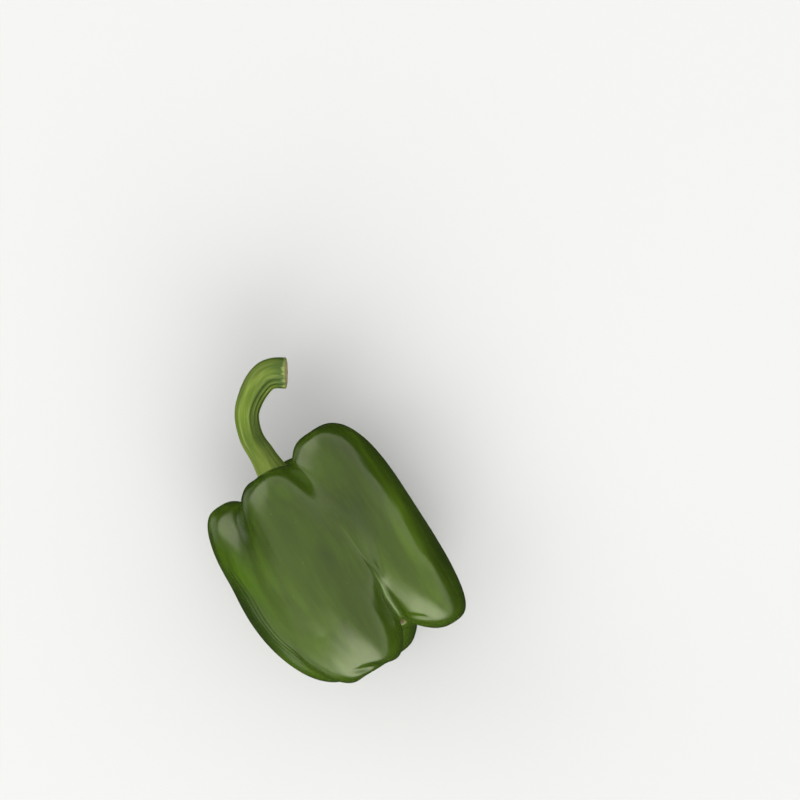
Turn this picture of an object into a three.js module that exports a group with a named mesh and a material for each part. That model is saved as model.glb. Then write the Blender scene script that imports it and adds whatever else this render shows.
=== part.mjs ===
// A green bell pepper lying on its side, with its hooked stem
// Millimetres, +Z up. The long axis runs along X, with the stem toward +X and the blossom end toward -X.

import * as THREE from 'three';

// Driving dimensions of the body, in mm and degrees
const AXIS_HEIGHT = 35.0;
const SECTION_ROUNDNESS = 2.15;
const CORE_RADIUS = 20.0;
const CORE_HALF_LENGTH = 33.0;
const CORE_SHIFT = -2.0;
const SOFTNESS_AT_ENDS = 0.6;
const SOFTNESS_ADDED_AT_MIDDLE = 1.7;
const SOFTNESS_CENTRE = 12.0;
const SOFTNESS_HALF_LENGTH = 34.0;
const LOBE_REACH_LIMIT = 1.15;

// Each lobe runs from its shoulder to its tip. The three values of a measure are at the shoulder, the middle and
// the tip. Angle turns from straight up toward -Y, reach is from the long axis to the crown of the lobe, and
// thick and side are the half sizes of its section.
const LOBES = [
  { // the lobe that faces up
    top: 42.4, tip: -46.0, topBluntness: 3.6, tipBluntness: 4.0,
    angle: [-14, -21, -12], reach: [36.5, 37.3, 33], thick: [16, 23, 16], side: [15.5, 20.5, 11.5],
  },
  { // the lobe on the -Y side
    top: 46.5, tip: -45.6, topBluntness: 3.6, tipBluntness: 3.0,
    angle: [62, 76, 77], reach: [38, 38.8, 41.3], thick: [17, 18.5, 13], side: [16, 20.5, 19],
  },
  { // the lobe on the +Y side
    top: 40.5, tip: -42.6, topBluntness: 3.0, tipBluntness: 3.2,
    angle: [-81, -74, -58], reach: [39.4, 40.5, 33], thick: [13, 17, 15], side: [12.5, 20, 14.5],
  },
  { // the lobe that the pepper lies on
    top: 42.0, tip: -46.2, topBluntness: 3.6, tipBluntness: 3.4,
    angle: [175, 172, 174], reach: [35.5, 36.5, 32.5], thick: [17, 22, 15], side: [18, 23, 13.5],
  },
];

// Fillings that make the grooves between neighbouring lobes shallow at mid-length
const GROOVE_FILLINGS = [
  { // between the upper lobe and the +Y lobe
    top: 33.0, tip: -45.2, topBluntness: 3.0, tipBluntness: 4.6,
    angle: [-56, -47, -31], reach: [30, 39.4, 33.6], thick: [14, 20, 14], side: [8, 17, 10],
  },
  { // between the upper lobe and the -Y lobe
    top: 36.0, tip: -28.0, topBluntness: 1.8, tipBluntness: 1.7,
    angle: [22, 22, 19], reach: [29, 33.3, 26], thick: [14, 20, 12], side: [8, 16, 4],
  },
  { // between the -Y lobe and the lower lobe
    top: 37.0, tip: -39.5, topBluntness: 3.0, tipBluntness: 3.0,
    angle: [120, 122, 120], reach: [30, 36, 31], thick: [16, 20, 15], side: [10, 16, 12],
  },
  { // between the +Y lobe and the lower lobe
    top: 35.0, tip: -40.5, topBluntness: 3.0, tipBluntness: 3.0,
    angle: [-140, -130, -120], reach: [30, 36, 31.5], thick: [16, 20, 15], side: [10, 19, 14],
  },
];

// The recess round the stem, a blunt ellipsoid taken out of the shoulders
const RECESS_CENTRE = new THREE.Vector3(50.0, 1.8, 36.0);
const RECESS_DEPTH = 18.5;
const RECESS_RADIUS = 15.0;
const RECESS_BLUNTNESS = 2.3;
const RECESS_SOFTNESS = 1.6;

// The body mesh
const BODY_AROUND = 80;
const BODY_ROWS_AT_RECESS = 14;
const BODY_ROWS_BEYOND = 34;
const RECESS_EDGE_ANGLE = 26;
const BODY_CENTRE = new THREE.Vector3(0, 0, AXIS_HEIGHT);
const SEARCH_START = 20.0;
const SEARCH_STEP = 2.0;
const SEARCH_END = 70.0;
const SEARCH_HALVINGS = 18;
const SLOPE_STEP = 0.05;

// The stem
const STEM_LINE = [
  [34.5, 2.0, 36.0], [41.5, 2.0, 36.3], [48.7, 1.8, 36.8], [57.1, 1.6, 37.6], [65.4, -1.6, 38.4],
  [70.9, -7.8, 39.2], [73.8, -14.3, 39.8], [73.4, -18.8, 40.2], [70.9, -23.0, 40.5],
];
const STEM_RADII = [7.4, 5.9, 5.0, 4.6, 4.5, 4.6, 4.9, 5.4, 5.8, 5.9];
const STEM_RIBS = 5;
const STEM_RIB_HEIGHT = 0.38;
const STEM_STATIONS = 30;
const STEM_AROUND = 40;
const CUT_ROUNDING = 0.7;

// The calyx, the flared foot of the stem that hugs the recess
const CALYX_CENTRE = { y: 2.0, z: 36.0 };
const CALYX_RADIUS = 11.0;
const CALYX_CORNERS = 5;
const CALYX_CORNER_REACH = 1.0;
const CALYX_EDGE_THICKNESS = 1.1;
const CALYX_FOOT_RADIUS = 7.8;
const CALYX_FOOT_THICKNESS = 2.4;
const CALYX_RINGS = 7;
const GAP = 0.3;

// Small helpers
function clamp(value, low, high) {
  return Math.min(high, Math.max(low, value));
}

function mix(a, b, share) {
  return a + (b - a) * share;
}

function smoothShare(value) {
  const share = clamp(value, 0, 1);
  return share * share * (3 - 2 * share);
}

function stationValue(values, toTop, toTip) {
  const [top, middle, tip] = values;
  return middle + (top - middle) * toTop + (tip - middle) * toTip;
}

// How far a point is outside one lobe, roughly in mm
function lobeField(lobe, x, y, z) {
  const middle = (lobe.top + lobe.tip) / 2;
  const half = (lobe.top - lobe.tip) / 2;
  const along = (x - middle) / half;
  const toTop = clamp(along, 0, LOBE_REACH_LIMIT) ** 2;
  const toTip = clamp(-along, 0, LOBE_REACH_LIMIT) ** 2;
  const angle = THREE.MathUtils.degToRad(stationValue(lobe.angle, toTop, toTip));
  const thick = stationValue(lobe.thick, toTop, toTip);
  const side = stationValue(lobe.side, toTop, toTip);
  const middleOfSection = stationValue(lobe.reach, toTop, toTip) - thick;
  const outward = -y * Math.sin(angle) + (z - AXIS_HEIGHT) * Math.cos(angle);
  const across = -y * Math.cos(angle) - (z - AXIS_HEIGHT) * Math.sin(angle);
  const section = (
    (Math.abs(outward - middleOfSection) / thick) ** SECTION_ROUNDNESS
    + (Math.abs(across) / side) ** SECTION_ROUNDNESS
  ) ** (1 / SECTION_ROUNDNESS);
  const bluntness = along > 0 ? lobe.topBluntness : lobe.tipBluntness;
  return ((section ** bluntness + Math.abs(along) ** bluntness) ** (1 / bluntness) - 1) * lobe.side[1];
}

// The core that joins the lobes at the long axis
function coreField(x, y, z) {
  const radial = Math.hypot(y, z - AXIS_HEIGHT) / CORE_RADIUS;
  const along = Math.abs(x - CORE_SHIFT) / CORE_HALF_LENGTH;
  return ((radial ** 3 + along ** 3) ** (1 / 3) - 1) * CORE_RADIUS;
}

// The recess round the stem, negative inside it
function recessField(x, y, z) {
  const along = (x - RECESS_CENTRE.x) / RECESS_DEPTH;
  const across = Math.hypot(y - RECESS_CENTRE.y, z - RECESS_CENTRE.z) / RECESS_RADIUS;
  const blunt = (Math.abs(along) ** RECESS_BLUNTNESS + across ** RECESS_BLUNTNESS) ** (1 / RECESS_BLUNTNESS);
  return (blunt - 1) * RECESS_RADIUS;
}

// The whole body, negative inside, with soft joins between the lobes
function bodyField(x, y, z) {
  const share = clamp(Math.abs(x - SOFTNESS_CENTRE) / SOFTNESS_HALF_LENGTH, 0, 1);
  const softness = SOFTNESS_AT_ENDS + SOFTNESS_ADDED_AT_MIDDLE * (1 - share * share);
  const pieces = [...LOBES, ...GROOVE_FILLINGS].map((lobe) => lobeField(lobe, x, y, z));
  pieces.push(coreField(x, y, z));
  let sum = 0;
  for (const distance of pieces) {
    sum += Math.exp(-clamp(distance / softness, -60, 60));
  }
  const flesh = -softness * Math.log(sum);
  const outsideRecess = -recessField(x, y, z);
  const high = Math.max(flesh, outsideRecess);
  const low = Math.min(flesh, outsideRecess);
  return high + RECESS_SOFTNESS * Math.log1p(Math.exp((low - high) / RECESS_SOFTNESS));
}

// The distance from the body's centre to its skin in one direction
function skinDistance(direction) {
  const at = (distance) => bodyField(
    BODY_CENTRE.x + direction.x * distance,
    BODY_CENTRE.y + direction.y * distance,
    BODY_CENTRE.z + direction.z * distance,
  );
  let inside = SEARCH_START;
  let outside = SEARCH_START + SEARCH_STEP;
  while (at(outside) < 0 && outside < SEARCH_END) {
    inside = outside;
    outside += SEARCH_STEP;
  }
  for (let i = 0; i < SEARCH_HALVINGS; i += 1) {
    const middle = (inside + outside) / 2;
    if (at(middle) < 0) {
      inside = middle;
    } else {
      outside = middle;
    }
  }
  return (inside + outside) / 2;
}

// A sphere grid joined at its seam and poles, so that the mesh is one closed skin.
// place gives the point of a row and a column; rows 0 and last are the poles.
function closedGrid(rows, columns, place) {
  const sphere = new THREE.SphereGeometry(1, columns, rows);
  const points = [];
  const numbers = [];
  const first = sphere.index;
  const stride = columns + 1;
  const keyOf = (vertex) => {
    const row = Math.floor(vertex / stride);
    const column = row === 0 || row === rows ? 0 : (vertex % stride) % columns;
    return row * columns + column;
  };
  const numberOf = new Map();
  for (let i = 0; i < first.count; i += 1) {
    const key = keyOf(first.getX(i));
    if (!numberOf.has(key)) {
      numberOf.set(key, points.length / 3);
      points.push(...place(Math.floor(key / columns), key % columns).toArray());
    }
    numbers.push(numberOf.get(key));
  }
  const geometry = new THREE.BufferGeometry();
  geometry.setAttribute('position', new THREE.Float32BufferAttribute(points, 3));
  geometry.setIndex(numbers);
  return geometry;
}

// The angle of a row from the stem axis, with the rows closer together in the recess
function rowAngle(row) {
  if (row <= BODY_ROWS_AT_RECESS) {
    return THREE.MathUtils.degToRad((RECESS_EDGE_ANGLE * row) / BODY_ROWS_AT_RECESS);
  }
  const share = (row - BODY_ROWS_AT_RECESS) / BODY_ROWS_BEYOND;
  return THREE.MathUtils.degToRad(mix(RECESS_EDGE_ANGLE, 180, share));
}

// The body: rows run from the stem end to the blossom end
function bodyGeometry() {
  const geometry = closedGrid(BODY_ROWS_AT_RECESS + BODY_ROWS_BEYOND, BODY_AROUND, (row, column) => {
    const polar = rowAngle(row);
    const turn = (2 * Math.PI * column) / BODY_AROUND;
    const direction = new THREE.Vector3(
      Math.cos(polar),
      Math.sin(polar) * Math.cos(turn),
      Math.sin(polar) * Math.sin(turn),
    );
    const point = direction.clone().multiplyScalar(skinDistance(direction)).add(BODY_CENTRE);
    point.z = Math.max(point.z, 0);
    return point;
  });
  return geometry;
}

// The height of the skin along X over one point of the recess
function recessHeight(y, z) {
  let outside = 60.0;
  while (bodyField(outside, y, z) > 0 && outside > 10) {
    outside -= SEARCH_STEP;
  }
  let inside = outside;
  outside += SEARCH_STEP;
  for (let i = 0; i < SEARCH_HALVINGS; i += 1) {
    const middle = (inside + outside) / 2;
    if (bodyField(middle, y, z) < 0) {
      inside = middle;
    } else {
      outside = middle;
    }
  }
  return inside;
}

// The direction straight out of the skin
function skinNormal(point) {
  const slope = (dx, dy, dz) => bodyField(point.x + dx, point.y + dy, point.z + dz)
    - bodyField(point.x - dx, point.y - dy, point.z - dz);
  return new THREE.Vector3(slope(SLOPE_STEP, 0, 0), slope(0, SLOPE_STEP, 0), slope(0, 0, SLOPE_STEP)).normalize();
}

// The stem's section: soft ribs that run along it
function stemRadius(share, turn) {
  const place = share * (STEM_RADII.length - 1);
  const before = Math.min(Math.floor(place), STEM_RADII.length - 2);
  const radius = mix(STEM_RADII[before], STEM_RADII[before + 1], place - before);
  return radius + STEM_RIB_HEIGHT * Math.cos(STEM_RIBS * turn);
}

// The stem and calyx as one skin: under the calyx, over its edge, up the foot, along the stem and over the cut end
function stemGeometry() {
  const line = new THREE.CatmullRomCurve3(STEM_LINE.map((point) => new THREE.Vector3(...point)), false, 'centripetal');
  const up = new THREE.Vector3(0, 0, 1);

  const stemPoint = (share, turn, scale, push) => {
    const centre = line.getPointAt(clamp(share, 0, 1));
    const along = line.getTangentAt(clamp(share, 0, 1));
    const across = new THREE.Vector3().crossVectors(up, along).normalize();
    const above = new THREE.Vector3().crossVectors(along, across);
    const radius = stemRadius(share, turn) * scale;
    return centre
      .addScaledVector(across, radius * Math.cos(turn))
      .addScaledVector(above, radius * Math.sin(turn))
      .addScaledVector(along, push);
  };

  const calyxEdge = (turn) => CALYX_RADIUS + CALYX_CORNER_REACH * Math.cos(CALYX_CORNERS * turn);

  const calyxPoint = (radius, turn, lift) => {
    const y = CALYX_CENTRE.y + radius * Math.cos(turn);
    const z = CALYX_CENTRE.z + radius * Math.sin(turn);
    const point = new THREE.Vector3(recessHeight(y, z), y, z);
    return point.addScaledVector(skinNormal(point), lift);
  };

  // Rows in order, each a function of the turn round the stem
  const rows = [];
  for (let i = 1; i <= CALYX_RINGS; i += 1) {
    rows.push((turn) => calyxPoint((calyxEdge(turn) * i) / CALYX_RINGS, turn, GAP));
  }
  for (let i = CALYX_RINGS; i >= 1; i -= 1) {
    const share = (i - 1) / (CALYX_RINGS - 1);
    const thickness = mix(CALYX_FOOT_THICKNESS, CALYX_EDGE_THICKNESS, smoothShare(share * 1.3));
    rows.push((turn) => calyxPoint(mix(CALYX_FOOT_RADIUS, calyxEdge(turn), share), turn, GAP + thickness));
  }
  for (let i = 0; i <= STEM_STATIONS; i += 1) {
    const share = i / STEM_STATIONS;
    rows.push((turn) => stemPoint(share, turn, 1, 0));
  }
  rows.push((turn) => stemPoint(1, turn, 1 - CUT_ROUNDING / 6, CUT_ROUNDING));
  rows.push((turn) => stemPoint(1, turn, 0.5, CUT_ROUNDING * 0.8));

  const last = rows.length + 1;
  return closedGrid(last, STEM_AROUND, (row, column) => {
    const turn = (2 * Math.PI * column) / STEM_AROUND;
    if (row === 0) {
      return calyxPoint(0, 0, GAP);
    }
    if (row === last) {
      return stemPoint(1, 0, 0, CUT_ROUNDING * 0.7);
    }
    return rows[row - 1](turn);
  });
}

// Makes a named mesh and turns its faces outward where they aren't
function namedMesh(name, geometry, colour, roughness) {
  const place = geometry.getAttribute('position');
  const index = geometry.index;
  const corner = [new THREE.Vector3(), new THREE.Vector3(), new THREE.Vector3()];
  let volume = 0;
  for (let i = 0; i < index.count; i += 3) {
    for (let j = 0; j < 3; j += 1) {
      corner[j].fromBufferAttribute(place, index.getX(i + j));
    }
    volume += corner[0].dot(corner[1].clone().cross(corner[2])) / 6;
  }
  if (volume < 0) {
    for (let i = 0; i < index.count; i += 3) {
      const second = index.getX(i + 1);
      index.setX(i + 1, index.getX(i + 2));
      index.setX(i + 2, second);
    }
  }
  geometry.computeVertexNormals();
  const material = new THREE.MeshStandardMaterial({ color: colour, roughness, metalness: 0 });
  const mesh = new THREE.Mesh(geometry, material);
  mesh.name = name;
  return mesh;
}

const pepper = new THREE.Group();
pepper.name = 'bell_pepper';
pepper.add(namedMesh('pepper_body', bodyGeometry(), 0x4a6b1e, 0.3));
pepper.add(namedMesh('stem_and_calyx', stemGeometry(), 0x8fae3a, 0.65));

// The origin goes to the middle of the underside of the whole pepper
const box = new THREE.Box3().setFromObject(pepper);
const middle = box.getCenter(new THREE.Vector3());
pepper.position.set(-middle.x, -middle.y, -box.min.z);
pepper.updateMatrixWorld(true);

export default pepper;
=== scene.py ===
import math

import bpy
import numpy as np
from mathutils import Matrix, Vector


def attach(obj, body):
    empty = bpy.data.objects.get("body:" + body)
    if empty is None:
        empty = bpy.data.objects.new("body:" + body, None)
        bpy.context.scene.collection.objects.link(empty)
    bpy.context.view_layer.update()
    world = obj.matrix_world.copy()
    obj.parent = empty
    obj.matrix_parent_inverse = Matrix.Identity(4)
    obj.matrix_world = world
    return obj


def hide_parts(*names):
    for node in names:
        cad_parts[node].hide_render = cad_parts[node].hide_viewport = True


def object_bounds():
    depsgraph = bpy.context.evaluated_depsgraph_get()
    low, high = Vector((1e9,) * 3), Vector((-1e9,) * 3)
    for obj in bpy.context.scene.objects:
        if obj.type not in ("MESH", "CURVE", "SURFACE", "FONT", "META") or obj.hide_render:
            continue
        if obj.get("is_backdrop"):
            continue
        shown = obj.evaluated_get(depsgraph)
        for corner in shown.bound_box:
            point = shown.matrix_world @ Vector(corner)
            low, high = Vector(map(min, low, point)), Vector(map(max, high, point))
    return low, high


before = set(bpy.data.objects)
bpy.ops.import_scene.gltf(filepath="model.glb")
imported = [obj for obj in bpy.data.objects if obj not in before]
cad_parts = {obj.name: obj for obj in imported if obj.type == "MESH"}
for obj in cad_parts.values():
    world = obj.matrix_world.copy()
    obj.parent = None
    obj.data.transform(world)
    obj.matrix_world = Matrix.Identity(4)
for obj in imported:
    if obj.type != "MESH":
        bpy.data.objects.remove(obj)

bl_info = {
    "name": "Bell pepper",
    "version": (1, 0, 0),
    "blender": (4, 5, 0),
    "location": "View3D > Sidebar > Bell pepper",
    "description": "Makes a green bell pepper lying on its side, with its hooked stem",
    "category": "Add Mesh",
}

# The box of the CAD model, kept from before anything is added
CAD_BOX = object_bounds()

# Millimetres in the source's own axes become metres in the frame
MILLIMETRE = 0.001
FRAME_SHIFT = np.array([-16.7367, -0.7468, 0.0])

# Form of the body, in mm and degrees, as in the part's source

AXIS_HEIGHT = 35.0
SECTION_ROUNDNESS = 2.15
CORE_RADIUS = 20.0
CORE_HALF_LENGTH = 33.0
CORE_SHIFT = -2.0
CORE_BLUNTNESS = 3
SOFTNESS_AT_ENDS = 0.6
SOFTNESS_ADDED_AT_MIDDLE = 1.7
SOFTNESS_CENTRE = 12.0
SOFTNESS_HALF_LENGTH = 34.0
LOBE_REACH_LIMIT = 1.15
EXPONENT_LIMIT = 60

# The search for the skin: start, step and end of the walk outward, in mm, and the steps that close in
FRUIT_SEARCH = (20.0, 2.0, 70.0)
RECESS_SEARCH = (24.0, 1.0, 60.0)
SKIN_SEARCH_STEPS = 6
NORMAL_STEP = 0.05


class Lobe:
    """One lobe or groove filling. Each measure has a value at the shoulder, the middle and the tip."""

    def __init__(self, top, tip, blunt, angle, reach, thick, side):
        self.top = top
        self.tip = tip
        self.blunt = blunt
        self.angle = angle
        self.reach = reach
        self.thick = thick
        self.side = side


LOBES = {
    "upper": Lobe(
        42.4, -46.0, blunt=(3.6, 4.0), angle=(-14, -21, -12),
        reach=(36.5, 37.3, 33.0), thick=(16, 23, 16), side=(15.5, 20.5, 11.5)),
    "right": Lobe(
        46.5, -45.6, blunt=(3.6, 3.0), angle=(62, 76, 77),
        reach=(38.0, 38.8, 41.3), thick=(17, 18.5, 13.0), side=(16, 20.5, 19.0)),
    "left": Lobe(
        40.5, -42.6, blunt=(3.0, 3.2), angle=(-81, -74, -58),
        reach=(39.4, 40.5, 33.0), thick=(13.0, 17, 15), side=(12.5, 20, 14.5)),
    "lower": Lobe(
        42.0, -46.2, blunt=(3.6, 3.4), angle=(175, 172, 174),
        reach=(35.5, 36.5, 32.5), thick=(17, 22, 15), side=(18, 23, 13.5)),
    "upper to left": Lobe(
        33.0, -45.2, blunt=(3.0, 4.6), angle=(-56, -47, -31),
        reach=(30.0, 39.4, 33.6), thick=(14, 20, 14), side=(8, 17, 10)),
    "upper to right": Lobe(
        36.0, -28.0, blunt=(1.8, 1.7), angle=(22, 22, 19),
        reach=(29.0, 33.3, 26.0), thick=(14, 20, 12), side=(8, 16, 4)),
    "right to lower": Lobe(
        37.0, -39.5, blunt=(3.0, 3.0), angle=(120, 122, 120),
        reach=(30.0, 36, 31.0), thick=(16, 20, 15), side=(10, 16, 12)),
    "left to lower": Lobe(
        35.0, -40.5, blunt=(3.0, 3.0), angle=(-140, -130, -120),
        reach=(30, 36, 31.5), thick=(16, 20, 15), side=(10, 19, 14)),
}

RECESS_CENTRE = (50.0, 1.8, 36.0)
RECESS_DEPTH = 18.5
RECESS_RADIUS = 15.0
RECESS_BLUNTNESS = 2.3
RECESS_SOFTNESS = 1.6


def station(values, to_top, to_tip):
    """A lobe's measure between its values at the shoulder, the middle and the tip."""
    top, middle, tip = values
    return middle + (top - middle) * to_top + (tip - middle) * to_tip


def lobe_field(lobe, x, y, z):
    """How far points are outside one lobe, roughly in mm."""
    middle = (lobe.top + lobe.tip) / 2
    half = (lobe.top - lobe.tip) / 2
    along = (x - middle) / half
    to_top = np.clip(along, 0, LOBE_REACH_LIMIT) ** 2
    to_tip = np.clip(-along, 0, LOBE_REACH_LIMIT) ** 2
    angle = np.radians(station(lobe.angle, to_top, to_tip))
    thick = station(lobe.thick, to_top, to_tip)
    side = station(lobe.side, to_top, to_tip)
    centre = station(lobe.reach, to_top, to_tip) - thick
    outward = -y * np.sin(angle) + (z - AXIS_HEIGHT) * np.cos(angle)
    across = -y * np.cos(angle) - (z - AXIS_HEIGHT) * np.sin(angle)
    section = (np.abs((outward - centre) / thick) ** SECTION_ROUNDNESS
               + np.abs(across / side) ** SECTION_ROUNDNESS) ** (1 / SECTION_ROUNDNESS)
    blunt = np.where(along > 0, lobe.blunt[0], lobe.blunt[1])
    return ((section ** blunt + np.abs(along) ** blunt) ** (1 / blunt) - 1) * lobe.side[1]


def body_field(x, y, z):
    """The whole body, negative inside, with soft joins between the lobes."""
    share = np.clip(np.abs(x - SOFTNESS_CENTRE) / SOFTNESS_HALF_LENGTH, 0, 1)
    softness = SOFTNESS_AT_ENDS + SOFTNESS_ADDED_AT_MIDDLE * (1 - share ** 2)
    total = 0
    for lobe in LOBES.values():
        outside = lobe_field(lobe, x, y, z) / softness
        total = total + np.exp(-np.clip(outside, -EXPONENT_LIMIT, EXPONENT_LIMIT))
    radial = np.hypot(y, z - AXIS_HEIGHT) / CORE_RADIUS
    along = np.abs(x - CORE_SHIFT) / CORE_HALF_LENGTH
    core = ((radial ** CORE_BLUNTNESS + along ** CORE_BLUNTNESS) ** (1 / CORE_BLUNTNESS) - 1) * CORE_RADIUS
    total = total + np.exp(-np.clip(core / softness, -EXPONENT_LIMIT, EXPONENT_LIMIT))
    flesh = -softness * np.log(total)
    depth = np.abs((x - RECESS_CENTRE[0]) / RECESS_DEPTH)
    across = np.hypot(y - RECESS_CENTRE[1], z - RECESS_CENTRE[2]) / RECESS_RADIUS
    from_centre = (depth ** RECESS_BLUNTNESS + across ** RECESS_BLUNTNESS) ** (1 / RECESS_BLUNTNESS)
    recess = (from_centre - 1) * RECESS_RADIUS
    high = np.maximum(flesh, -recess)
    low = np.minimum(flesh, -recess)
    return high + RECESS_SOFTNESS * np.log1p(np.exp((low - high) / RECESS_SOFTNESS))


def first_outside(field_at, count, start, step, end):
    """Walks out from the inside along each ray and closes in on the skin between its last two steps."""
    every = np.arange(count)
    inside = np.full(count, start)
    outside = inside.copy()
    low = field_at(inside, every)
    high = low.copy()
    moving = every
    while len(moving):
        outside[moving] = inside[moving] + step
        high[moving] = field_at(outside[moving], moving)
        moving = moving[(high[moving] < 0) & (outside[moving] < end)]
        inside[moving] = outside[moving]
        low[moving] = high[moving]
    for _ in range(SKIN_SEARCH_STEPS):
        share = np.clip(low / (low - high), 0.05, 0.95)
        middle = inside + (outside - inside) * share
        value = field_at(middle, every)
        within = value < 0
        inside = np.where(within, middle, inside)
        low = np.where(within, value, low)
        outside = np.where(within, outside, middle)
        high = np.where(within, high, value)
    return inside + (outside - inside) * low / (low - high)


def skin_points(directions):
    """The points of the skin in the given directions from the body's centre, in mm."""
    def field_at(distance, which):
        way = directions[which]
        return body_field(way[:, 0] * distance, way[:, 1] * distance, AXIS_HEIGHT + way[:, 2] * distance)
    distance = first_outside(field_at, len(directions), *FRUIT_SEARCH)
    points = directions * distance[:, None]
    points[:, 2] += AXIS_HEIGHT
    return points


def recess_height(y, z):
    """The height of the skin along X over points of the recess, in mm."""
    return first_outside(lambda x, which: body_field(x, y[which], z[which]), len(y), *RECESS_SEARCH)


def skin_normals(points):
    """The directions straight out of the skin."""
    slopes = []
    for axis in range(3):
        shift = np.zeros(3)
        shift[axis] = NORMAL_STEP
        slopes.append(body_field(*(points + shift).T) - body_field(*(points - shift).T))
    normals = np.array(slopes).T
    return normals / np.linalg.norm(normals, axis=1, keepdims=True)


# Colours and nodes

# Names and numbers of the sockets that are used most
VALUE, LOW, HIGH, TO_LOW, TO_HIGH = "Value", "From Min", "From Max", "To Min", "To Max"
SHARE, UNDER, OVER = 0, 6, 7

# Settings of the nodes that are used most
SMOOTH = {"interpolation_type": "SMOOTHSTEP"}
MIX_COLOURS = {"data_type": "RGBA", "output": 2}


def linear(colour_hex):
    """An sRGB colour as the linear RGBA that shaders take."""
    channels = [int(colour_hex[i:i + 2], 16) / 255 for i in (1, 3, 5)]
    return [c / 12.92 if c <= 0.04045 else ((c + 0.055) / 1.055) ** 2.4 for c in channels] + [1.0]


def colour_setting(name, description, colour_hex):
    """A colour for the sidebar, with its default as sRGB hex."""
    return bpy.props.FloatVectorProperty(
        name=name, description=description, default=linear(colour_hex),
        subtype="COLOR", size=4, min=0.0, max=1.0)


def add_node(tree, kind, inputs=None, output=0, stops=(), **settings):
    """Adds a node, sets its properties and colour stops, sets or links its inputs, and returns one output."""
    node = tree.nodes.new(kind)
    for name, value in settings.items():
        setattr(node, name, value)
    for name, value in (inputs or {}).items():
        socket = node.inputs[name]
        if isinstance(value, bpy.types.NodeSocket):
            tree.links.new(value, socket)
        else:
            socket.default_value = value
    if stops:
        elements = node.color_ramp.elements
        while len(elements) < len(stops):
            elements.new(0.5)
        for element, (place, colour) in zip(elements, stops):
            element.position = place
            element.color = colour
    return node.outputs[output]


# Settings shown in the sidebar

class BodySettings(bpy.types.PropertyGroup):
    """Mesh and colours of the fruit"""

    around: bpy.props.IntProperty(
        name="Columns", description="Columns of the skin's mesh round the fruit", default=320, min=24)
    rows: bpy.props.IntProperty(
        name="Rows", description="Rows of the skin's mesh from the stem to the blossom end",
        default=220, min=24)
    waviness: bpy.props.FloatProperty(
        name="Waviness", description="Height of the slow unevenness of the skin, in mm",
        default=0.12, min=0.0)
    deep_green: colour_setting("Deep green", "The darkest green of the skin", "#2A3A0D")
    mid_green: colour_setting("Middle green", "The main green of the skin", "#384C10")
    light_green: colour_setting("Light green", "The yellower green of the pale patches", "#557219")
    roughness: bpy.props.FloatProperty(
        name="Roughness", description="Roughness of the waxy skin", default=0.2, min=0.0, max=1.0,
        subtype="FACTOR")


class StemSettings(bpy.types.PropertyGroup):
    """Mesh and colours of the stem and calyx"""

    around: bpy.props.IntProperty(
        name="Columns", description="Columns of the mesh round the stem", default=144, min=24)
    stations: bpy.props.IntProperty(
        name="Stations", description="Rows of the mesh along the stem", default=150, min=24)
    flesh: colour_setting("Stem green", "The main colour of the ribs", "#5D731E")
    # Painted shade down in the grooves of the stem
    groove_shade: colour_setting("Groove green", "The colour down in the grooves", "#364A14")
    dry: colour_setting("Dry cut", "The colour of the dry cut face", "#B9AE7C")


class StageSettings(bpy.types.PropertyGroup):
    """The floor, the light and the camera"""

    floor_size: bpy.props.FloatProperty(
        name="Floor", description="Side of the floor", default=6.0, unit="LENGTH")
    camera_height: bpy.props.FloatProperty(
        name="Camera height", description="Height of the camera over the floor", default=1.24, unit="LENGTH")
    dome_light: bpy.props.FloatProperty(
        name="Dome", description="Strength of the light from all round", default=0.8, min=0.0)


# Meshes

def sphere_grid(name, columns, rows):
    """Adds a sphere of quads with its poles along X. Returns it with the row and column of each vertex."""
    bpy.ops.object.select_all(action="DESELECT")
    bpy.ops.mesh.primitive_uv_sphere_add(
        segments=columns, ring_count=rows, radius=1.0, location=(0, 0, 0), rotation=(0, math.pi / 2, 0))
    piece = bpy.context.object
    piece.name = name
    piece.data.name = name
    bpy.ops.object.transform_apply(location=True, rotation=True, scale=True)
    places = np.empty(len(piece.data.vertices) * 3)
    piece.data.vertices.foreach_get("co", places)
    places = places.reshape(-1, 3)
    row = np.rint(np.arccos(np.clip(places[:, 0], -1, 1)) / math.pi * rows).astype(int)
    turn = np.arctan2(places[:, 2], places[:, 1]) % (2 * math.pi)
    column = np.rint(turn / (2 * math.pi) * columns).astype(int) % columns
    column[(row == 0) | (row == rows)] = 0
    return piece, row, column


def set_points(piece, points_mm):
    """Puts the mesh's points, given in mm in the source's axes, in their place in the frame."""
    metres = (points_mm + FRAME_SHIFT) * MILLIMETRE
    piece.data.vertices.foreach_set("co", metres.ravel())
    piece.data.update()


def add_attributes(piece, values):
    """Writes a number or a vector for each point of the mesh, which the material reads."""
    for name, numbers in values.items():
        kind, field = ("FLOAT", "value") if numbers.ndim == 1 else ("FLOAT_VECTOR", "vector")
        attribute = piece.data.attributes.new(name, kind, "POINT")
        attribute.data.foreach_set(field, np.ascontiguousarray(numbers, dtype=np.float32).ravel())


def finish_piece(piece, material, node):
    """Turns the faces outward, smooths the shading, hangs the piece on the root body and hides the CAD part
    it stands for.
    """
    bpy.context.view_layer.objects.active = piece
    piece.select_set(True)
    bpy.ops.object.mode_set(mode="EDIT")
    bpy.ops.mesh.select_all(action="SELECT")
    bpy.ops.mesh.normals_make_consistent(inside=False)
    bpy.ops.object.mode_set(mode="OBJECT")
    bpy.ops.object.shade_smooth()
    piece.data.materials.clear()
    piece.data.materials.append(material)
    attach(piece, "root")
    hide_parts(node)


def share_between(value, low, high):
    """0 at low and 1 at high, smooth between them and even beyond."""
    share = np.clip((value - low) / (high - low), 0, 1)
    return share * share * (3 - 2 * share)


# Body

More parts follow.
